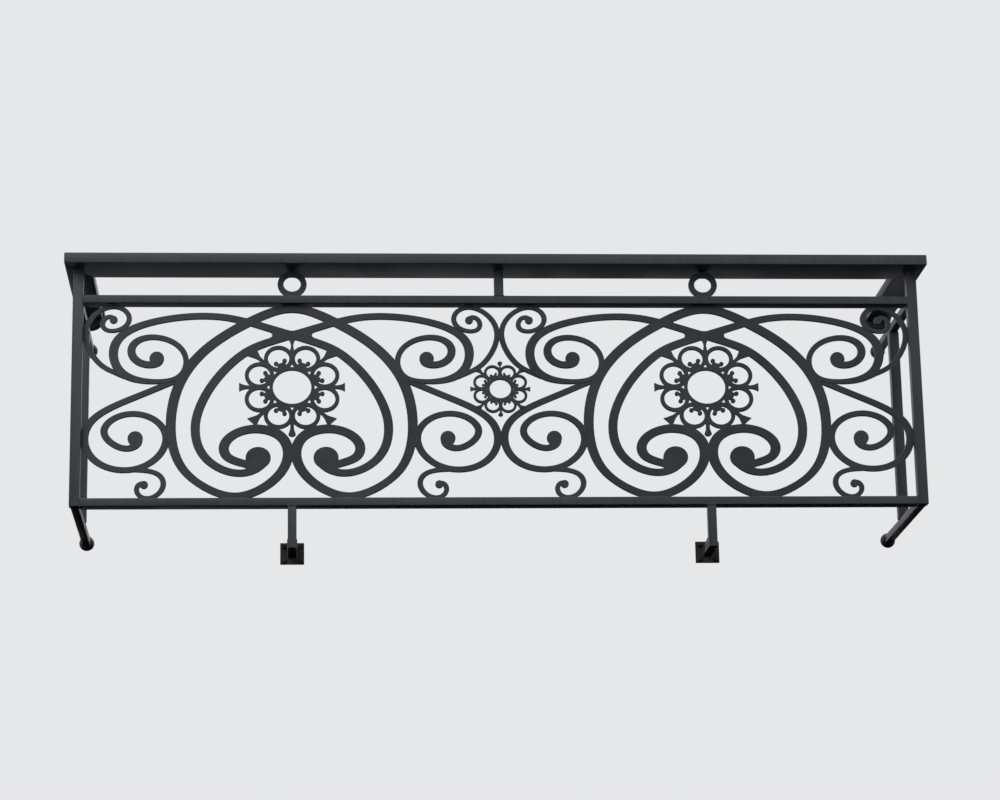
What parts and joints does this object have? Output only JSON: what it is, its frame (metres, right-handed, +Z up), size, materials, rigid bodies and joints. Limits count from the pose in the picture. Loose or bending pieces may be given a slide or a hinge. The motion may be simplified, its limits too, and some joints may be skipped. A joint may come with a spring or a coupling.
{
  "type": "iron balcony railing",
  "caption": "Painted iron balcony railing of box section, with heart-shaped scrollwork, rosettes, a wide flat handrail and bolted support brackets.",
  "frame": {"origin": "centre of the left fixing plate's back face, where it bolts to the slab's edge", "axes": "+X along the front towards its right end, +Y towards the building, +Z up"},
  "size_m": [3.228, 0.783, 1.162],
  "materials": {
    "railing_paint": "semi-matt charcoal paint over steel, slightly blue, with dust and faint streaks",
    "scroll_paint": "semi-matt charcoal paint over flat wrought bars, slightly uneven",
    "ball_paint": "charcoal paint on cast balls",
    "plate_paint": "brown-black paint with rust round the bolts"
  },
  "bodies": {
    "root": {"heart_panel_left": "scroll_paint", "heart_panel_right": "scroll_paint", "outer_scroll_left": "scroll_paint", "inner_scroll_left": "scroll_paint", "inner_scroll_right": "scroll_paint", "outer_scroll_right": "scroll_paint", "outer_curl_left": "scroll_paint", "inner_curl_left": "scroll_paint", "inner_curl_right": "scroll_paint", "outer_curl_right": "scroll_paint", "centre_rosette": "scroll_paint", "handrail_front": "railing_paint", "handrail_left": "railing_paint", "handrail_right": "railing_paint", "top_rail_front": "railing_paint", "top_rail_left": "railing_paint", "top_rail_right": "railing_paint", "bottom_rail_front": "railing_paint", "bottom_rail_left": "railing_paint", "bottom_rail_right": "railing_paint", "corner_post_left": "railing_paint", "corner_post_right": "railing_paint", "rear_post_left": "railing_paint", "rear_post_right": "railing_paint", "frieze_ring_left": "railing_paint", "frieze_ring_right": "railing_paint", "frieze_spacer": "railing_paint", "support_post_left": "railing_paint", "support_post_right": "railing_paint", "support_stub_left": "railing_paint", "support_stub_right": "railing_paint", "handrail_anchor_left": "ball_paint", "handrail_anchor_right": "ball_paint", "wall_anchor_top_left": "ball_paint", "wall_anchor_bottom_left": "ball_paint", "wall_anchor_top_right": "ball_paint", "wall_anchor_bottom_right": "ball_paint", "fixing_plate_left": "plate_paint", "fixing_plate_right": "plate_paint"}
  },
  "joints": []
}
